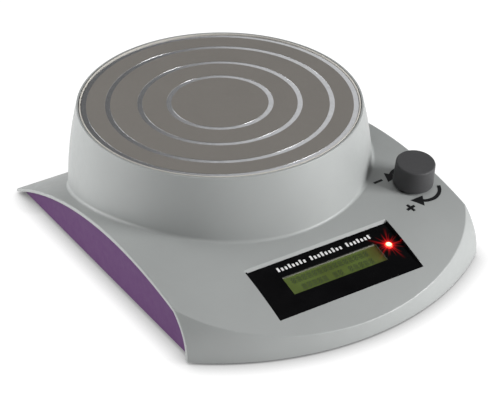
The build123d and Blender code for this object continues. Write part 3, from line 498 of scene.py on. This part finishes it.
# ================= printed marks and display content =================
def rounded_box(u, v, width, height, radius, turn=0.0):
    """Outline of a bar with rounded corners, turned by some degrees about its middle."""
    points = []
    for corner, (a, b) in enumerate(((1, 1), (-1, 1), (-1, -1), (1, -1))):
        for step in range(CORNER_STEPS):
            angle = math.radians(90 * corner + 90 / (CORNER_STEPS - 1) * step)
            points.append((
                a * (width / 2 - radius) + radius * math.cos(angle),
                b * (height / 2 - radius) + radius * math.sin(angle),
            ))
    c, s = math.cos(math.radians(turn)), math.sin(math.radians(turn))
    return [(u + c * x - s * y, v + s * x + c * y) for x, y in points]


def arrow_outlines(tip, heading, hand):
    """Curved arrow. heading is the way from its tip to its stem; a stem with hand 1 bends left."""
    head = [(0, 0), (ARROW_HEAD_L, -ARROW_HEAD_W / 2), (ARROW_HEAD_L, ARROW_HEAD_W / 2)]
    inner, outer = [], []
    for step in range(ARROW_STEM_STEPS + 1):
        angle = math.radians(ARROW_STEM_TURN * step / ARROW_STEM_STEPS)
        for side, line in ((-1, inner), (1, outer)):
            radius = ARROW_STEM_R + side * ARROW_STEM_W / 2
            along = ARROW_HEAD_L - ARROW_OVERLAP + radius * math.sin(angle)
            line.append((along, ARROW_STEM_R - radius * math.cos(angle)))
    stem = outer + inner[::-1]
    c, s = math.cos(math.radians(heading)), math.sin(math.radians(heading))
    turned = []
    for outline in (head, stem):
        points = [(tip[0] + c * x - s * hand * y, tip[1] + s * x + c * hand * y) for x, y in outline]
        turned.append(points[::hand])
    return turned


def printed(name, outlines, place, material, low, high):
    """Thin closed plates with these outlines, laid on a surface by place(u, v, lift)."""
    mesh = bpy.data.meshes.new(name)
    bm = bmesh.new()
    for outline in outlines:
        bm.faces.new([bm.verts.new((u, v, 0)) for u, v in outline])
    bmesh.ops.triangulate(bm, faces=bm.faces[:])
    for _ in range(INK_PASSES):
        long_edges = [edge for edge in bm.edges if edge.calc_length() > INK_STEP]
        if long_edges:
            bmesh.ops.subdivide_edges(bm, edges=long_edges, cuts=1)
            bmesh.ops.triangulate(bm, faces=bm.faces[:])
    top = bmesh.ops.extrude_face_region(bm, geom=bm.faces[:])
    top_verts = {v for v in top["geom"] if isinstance(v, bmesh.types.BMVert)}
    for vert in bm.verts:
        vert.co = place(vert.co.x, vert.co.y, high if vert in top_verts else low)
    bmesh.ops.recalc_face_normals(bm, faces=bm.faces[:])
    bm.to_mesh(mesh)
    bm.free()
    piece = bpy.data.objects.new(name, mesh)
    bpy.context.scene.collection.objects.link(piece)
    mesh.materials.append(material)
    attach(piece, BODY)


def on_casing(name, outlines):
    """Black print on the base's arch."""
    printed(name, outlines, on_arch, INK_BLACK, -INK_SINK, INK_LIFT)


on_casing("print_minus", [rounded_box(*MINUS_AT, *MINUS_SIZE, MARK_ROUND, MINUS_TURN)])
on_casing("print_plus", [
    rounded_box(*PLUS_AT, PLUS_ARM, PLUS_STROKE, MARK_ROUND, PLUS_TURN),
    rounded_box(*PLUS_AT, PLUS_STROKE, PLUS_ARM, MARK_ROUND, PLUS_TURN),
])
on_casing("print_arrow_more", arrow_outlines(ARROW_MORE_TIP, ARROW_MORE_HEADING, 1))
on_casing("print_arrow_less", arrow_outlines(ARROW_LESS_TIP, ARROW_LESS_HEADING, -1))


def title_bars():
    """Row of plain blocks in three groups, where a title would stand."""
    u = TITLE_U - lcd_centre.x
    outlines = []
    for count in TITLE_GROUPS:
        for index in range(count):
            tall = index % 3 == 0
            height = TITLE_H if tall else TITLE_H * TITLE_LOW
            v = TITLE_V + (height - TITLE_H) / 2
            outlines.append(rounded_box(u + TITLE_BLOCK / 2, v, TITLE_BLOCK, height, TITLE_ROUND))
            u += TITLE_PITCH
        u += TITLE_PITCH * TITLE_GAP
    return outlines


def cell_dots(u, v, lean):
    """Dots of one character cell with its middle at (u, v): diagonal bands that lean right or left."""
    outlines = []
    for i in range(CELL_COLUMNS):
        for j in range(CELL_ROWS):
            if (i - lean * j) % 3 > 0:
                across = u + (i - CELL_COLUMNS // 2) * CELL_DOT_PITCH
                up = v + (j - CELL_ROWS // 2) * CELL_DOT_PITCH
                outlines.append(rounded_box(across, up, CELL_DOT, CELL_DOT, CELL_DOT_ROUND))
    return outlines


def display_cells():
    """Two rows of character cells, each hatched with dots, leaning one way and the other in turn."""
    outlines = []
    for row, columns in ((1, UPPER_CELLS), (-1, LOWER_CELLS)):
        for column in columns:
            u = (column - CELL_MIDDLE) * CELL_PITCH[0]
            v = row * CELL_PITCH[1] / 2
            outlines += cell_dots(u, v, lean=-1 if column % 2 else 1)
    return outlines


printed("print_title_bars", title_bars(), on_window, INK_WHITE, -GLASS_SINK, TITLE_LIFT)
printed("lcd_dots", display_cells(), on_display, SEGMENT_DARK, -GLASS_SINK, DOT_LIFT)


# ================= floor, light and camera =================
FLOOR_HALF = 4.0                # half the floor's side
SHADOW_REACH = 14 * MM          # how far the painted soft shadow reaches out on the lit floor
WORLD_LEVEL = 0.03
LIGHT_TARGET = Vector((0, 0, 0.03))

CAMERA_AZIMUTH = -32.31         # degrees: from the left-hand front
CAMERA_ELEVATION = 33.32
CAMERA_DISTANCE = 1.2865
CAMERA_TARGET = Vector((0.0151, 0.0245, 0.0014))
CAMERA_LENS = 149.6             # focal length in millimetres
SENSOR_WIDTH = 36

LIGHTS = (                      # name, azimuth, elevation, distance, size, power
    ("key", 42, 20, 1.6, (0.7, 0.6), 31),
    ("left_side", -102, 14, 1.6, (0.8, 0.6), 9),
    ("left_rear", -140, 16, 1.6, (0.8, 0.6), 14),
    ("rear", -165, 38, 1.6, (0.8, 0.6), 5),
    ("overhead", 0, 88, 1.9, (1.6, 1.6), 10),
    ("right_card", 114, 30, 1.6, (1.9, 0.7), 2.4),
    ("right_rear_card", 160, 30, 1.6, (1.2, 0.7), 0.3),
)


def away_from(azimuth, elevation):
    """Unit vector in degrees. Azimuth 0 points to the front (-Y) and 90 to the right (+X)."""
    a, e = math.radians(azimuth), math.radians(elevation)
    return Vector((math.sin(a) * math.cos(e), -math.cos(a) * math.cos(e), math.sin(e)))


def aim(thing, target, away, distance):
    """Put a light or the camera at a distance from target, and turn it to look at it."""
    thing.location = target + away * distance
    thing.rotation_mode = "QUATERNION"
    thing.rotation_quaternion = (-away).to_track_quat("-Z", "Y")
    bpy.context.scene.collection.objects.link(thing)


def floor():
    """White floor that glows, with a painted soft shadow where the object stands close to it: its glow
    dimmed by ambient occlusion.
    """
    mesh = bpy.data.meshes.new("floor")
    bm = bmesh.new()
    bmesh.ops.create_grid(bm, x_segments=8, y_segments=8, size=FLOOR_HALF)
    bm.to_mesh(mesh)
    bm.free()
    piece = bpy.data.objects.new("floor", mesh)
    bpy.context.scene.collection.objects.link(piece)
    mat = new_material("floor_white", Roughness=0.7)
    mottle(mat, (0.08, 0.08, 0.08), 0.01, 3)
    socket(mat, "Emission Color").default_value = (1, 1, 1, 1)
    # painted shadow: the floor's glow dimmed by ambient occlusion near the object
    painted_shadow = add_node(mat, "ShaderNodeAmbientOcclusion", samples=16)
    painted_shadow.inputs["Distance"].default_value = SHADOW_REACH
    wire(mat, painted_shadow.outputs["AO"], socket(mat, "Emission Strength"))
    mesh.materials.append(mat)


def softbox(name, azimuth, elevation, distance, size, power):
    """Rectangular area light that looks at the object."""
    data = bpy.data.lights.new(name, "AREA")
    data.shape = "RECTANGLE"
    data.size, data.size_y = size
    data.energy = power
    lamp = bpy.data.objects.new(name, data)
    aim(lamp, LIGHT_TARGET, away_from(azimuth, elevation), distance)


def world():
    """Faint even light from all sides."""
    surroundings = bpy.data.worlds.new("studio")
    surroundings.use_nodes = True
    background = surroundings.node_tree.nodes["Background"]
    background.inputs["Color"].default_value = (1, 1, 1, 1)
    background.inputs["Strength"].default_value = WORLD_LEVEL
    bpy.context.scene.world = surroundings


def camera():
    """Long lens at the left-hand front, a third of the way up."""
    data = bpy.data.cameras.new("camera")
    data.sensor_width = SENSOR_WIDTH
    data.lens = CAMERA_LENS
    data.clip_start, data.clip_end = 0.05, 20
    view = bpy.data.objects.new("camera", data)
    aim(view, CAMERA_TARGET, away_from(CAMERA_AZIMUTH, CAMERA_ELEVATION), CAMERA_DISTANCE)
    bpy.context.scene.camera = view


floor()
world()
for light in LIGHTS:
    softbox(*light)
camera()
bpy.context.scene.view_settings.view_transform = "Standard"
